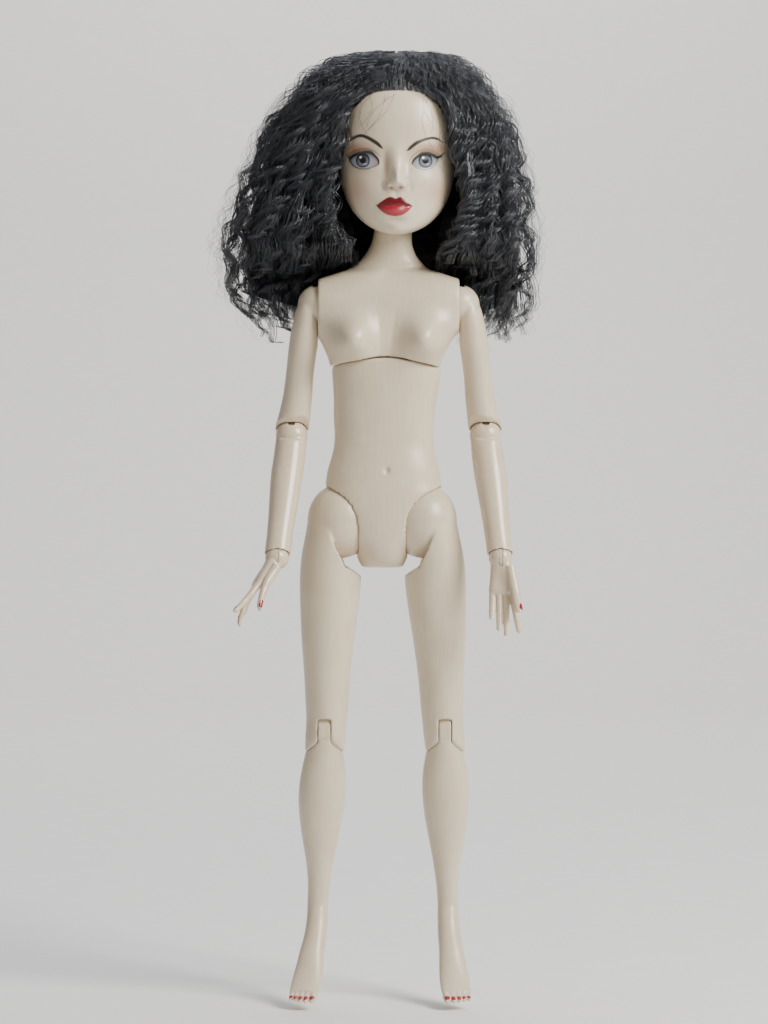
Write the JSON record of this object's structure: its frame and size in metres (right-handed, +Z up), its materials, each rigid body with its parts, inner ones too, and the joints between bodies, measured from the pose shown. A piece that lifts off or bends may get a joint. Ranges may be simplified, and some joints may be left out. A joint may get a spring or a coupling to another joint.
{
  "type": "fashion doll",
  "caption": "Jointed adult fashion doll with pale hard limbs, moulded head and voluminous curly black hair",
  "frame": {"origin": "middle of the narrowest part of the waist, where a saddle stand grips the doll", "axes": "+Z up along the standing doll, -Y the way the doll faces, +X the doll's left"},
  "size_m": [0.1358, 0.0813, 0.4048],
  "materials": {
    "skin": "satin cream-beige hard vinyl",
    "gloss_skin": "glossier cream-beige plastic",
    "fitting": "moulded nylon joint fitting",
    "steel": "plain steel pin",
    "hair": "crimped synthetic black hair fibre"
  },
  "bodies": {
    "lower_torso": {"lower_torso": "skin"},
    "waist_stud": {"waist_stud": "fitting"},
    "chest": {"chest": "skin"},
    "neck_stud": {"neck_stud": "fitting"},
    "head": {"head": "skin", "hair_crown": "hair", "hair_left": "hair", "hair_right": "hair", "hair_back": "hair"},
    "right_shoulder_hub": {"right_shoulder_hub": "fitting"},
    "right_upper_arm": {"right_upper_arm": "skin", "right_shoulder_pin": "steel"},
    "right_elbow_hub": {"right_elbow_hub": "fitting"},
    "right_forearm": {"right_forearm": "gloss_skin", "right_elbow_pin": "steel"},
    "right_wrist_hub": {"right_wrist_hub": "fitting"},
    "right_hand": {"right_hand": "gloss_skin", "right_wrist_pin": "steel"},
    "right_hip_hub": {"right_hip_hub": "fitting"},
    "right_thigh": {"right_thigh": "skin", "right_hip_pin": "steel", "right_knee_pin": "steel"},
    "right_shin": {"right_shin": "skin"},
    "left_shoulder_hub": {"left_shoulder_hub": "fitting"},
    "left_upper_arm": {"left_upper_arm": "skin", "left_shoulder_pin": "steel"},
    "left_elbow_hub": {"left_elbow_hub": "fitting"},
    "left_forearm": {"left_forearm": "gloss_skin", "left_elbow_pin": "steel"},
    "left_wrist_hub": {"left_wrist_hub": "fitting"},
    "left_hand": {"left_hand": "gloss_skin", "left_wrist_pin": "steel"},
    "left_hip_hub": {"left_hip_hub": "fitting"},
    "left_thigh": {"left_thigh": "skin", "left_hip_pin": "steel", "left_knee_pin": "steel"},
    "left_shin": {"left_shin": "skin"}
  },
  "joints": [
    {"name": "waist_bend", "type": "hinge", "parent": "lower_torso", "child": "waist_stud", "pos_m": [0, 0, -0.021], "axis": [1, 0, 0], "range_deg": [-6, 6]},
    {"name": "waist_turn", "type": "hinge", "parent": "waist_stud", "child": "chest", "pos_m": [0, 0, -0.021], "axis": [0, 0, 1], "range_deg": [-25, 25]},
    {"name": "head_nod", "type": "hinge", "parent": "chest", "child": "neck_stud", "pos_m": [0.0045, 0.0025, 0.092], "axis": [1, 0, 0], "range_deg": [-15, 15]},
    {"name": "head_turn", "type": "hinge", "parent": "neck_stud", "child": "head", "pos_m": [0.0045, 0.0025, 0.092], "axis": [0, 0, 1], "range_deg": [-60, 60], "deforming": ["hair_left", "hair_right", "hair_back"]},
    {"name": "right_shoulder_swing", "type": "hinge", "parent": "chest", "child": "right_shoulder_hub", "pos_m": [-0.0283, 0.001, 0.055], "axis": [-1, 0, 0], "range_deg": [-45, 150]},
    {"name": "right_shoulder_raise", "type": "hinge", "parent": "right_shoulder_hub", "child": "right_upper_arm", "pos_m": [-0.0283, 0.001, 0.055], "axis": [0, 1, 0], "range_deg": [0, 80]},
    {"name": "right_elbow_turn", "type": "hinge", "parent": "right_upper_arm", "child": "right_elbow_hub", "pos_m": [-0.0397, 0.001, -0.0012], "axis": [0, 0, 1], "range_deg": [-25, 25]},
    {"name": "right_elbow_bend", "type": "hinge", "parent": "right_elbow_hub", "child": "right_forearm", "pos_m": [-0.0397, 0.001, -0.0012], "axis": [-1, 0, 0], "range_deg": [-25, 60]},
    {"name": "right_wrist_turn", "type": "hinge", "parent": "right_forearm", "child": "right_wrist_hub", "pos_m": [-0.0452, -0.02334, -0.0534], "axis": [0, 0.4226, 0.9063], "range_deg": [-60, 60]},
    {"name": "right_wrist_bend", "type": "hinge", "parent": "right_wrist_hub", "child": "right_hand", "pos_m": [-0.0452, -0.02334, -0.0534], "axis": [-1, 0, 0], "range_deg": [-40, 40]},
    {"name": "right_hip_swing", "type": "hinge", "parent": "lower_torso", "child": "right_hip_hub", "pos_m": [-0.0192, -0.0004, -0.0379], "axis": [-1, 0, 0], "range_deg": [-15, 75]},
    {"name": "right_hip_spread", "type": "hinge", "parent": "right_hip_hub", "child": "right_thigh", "pos_m": [-0.0192, -0.0004, -0.0379], "axis": [0, 1, 0], "range_deg": [0, 30]},
    {"name": "right_knee_bend", "type": "hinge", "parent": "right_thigh", "child": "right_shin", "pos_m": [-0.0255, 0, -0.128], "axis": [1, 0, 0], "range_deg": [0, 100]},
    {"name": "left_shoulder_swing", "type": "hinge", "parent": "chest", "child": "left_shoulder_hub", "pos_m": [0.0323, 0.001, 0.055], "axis": [-1, 0, 0], "range_deg": [-45, 150]},
    {"name": "left_shoulder_raise", "type": "hinge", "parent": "left_shoulder_hub", "child": "left_upper_arm", "pos_m": [0.0323, 0.001, 0.055], "axis": [0, -1, 0], "range_deg": [0, 80]},
    {"name": "left_elbow_turn", "type": "hinge", "parent": "left_upper_arm", "child": "left_elbow_hub", "pos_m": [0.0437, 0.001, -0.0012], "axis": [0, 0, 1], "range_deg": [-25, 25]},
    {"name": "left_elbow_bend", "type": "hinge", "parent": "left_elbow_hub", "child": "left_forearm", "pos_m": [0.0437, 0.001, -0.0012], "axis": [-1, 0, 0], "range_deg": [-25, 60]},
    {"name": "left_wrist_turn", "type": "hinge", "parent": "left_forearm", "child": "left_wrist_hub", "pos_m": [0.0492, -0.02334, -0.0534], "axis": [0, 0.4226, 0.9063], "range_deg": [-60, 60]},
    {"name": "left_wrist_bend", "type": "hinge", "parent": "left_wrist_hub", "child": "left_hand", "pos_m": [0.0492, -0.02334, -0.0534], "axis": [-1, 0, 0], "range_deg": [-40, 40]},
    {"name": "left_hip_swing", "type": "hinge", "parent": "lower_torso", "child": "left_hip_hub", "pos_m": [0.0176, -0.0004, -0.0379], "axis": [-1, 0, 0], "range_deg": [-15, 75]},
    {"name": "left_hip_spread", "type": "hinge", "parent": "left_hip_hub", "child": "left_thigh", "pos_m": [0.0176, -0.0004, -0.0379], "axis": [0, -1, 0], "range_deg": [0, 30]},
    {"name": "left_knee_bend", "type": "hinge", "parent": "left_thigh", "child": "left_shin", "pos_m": [0.0261, 0, -0.128], "axis": [1, 0, 0], "range_deg": [0, 100]}
  ]
}
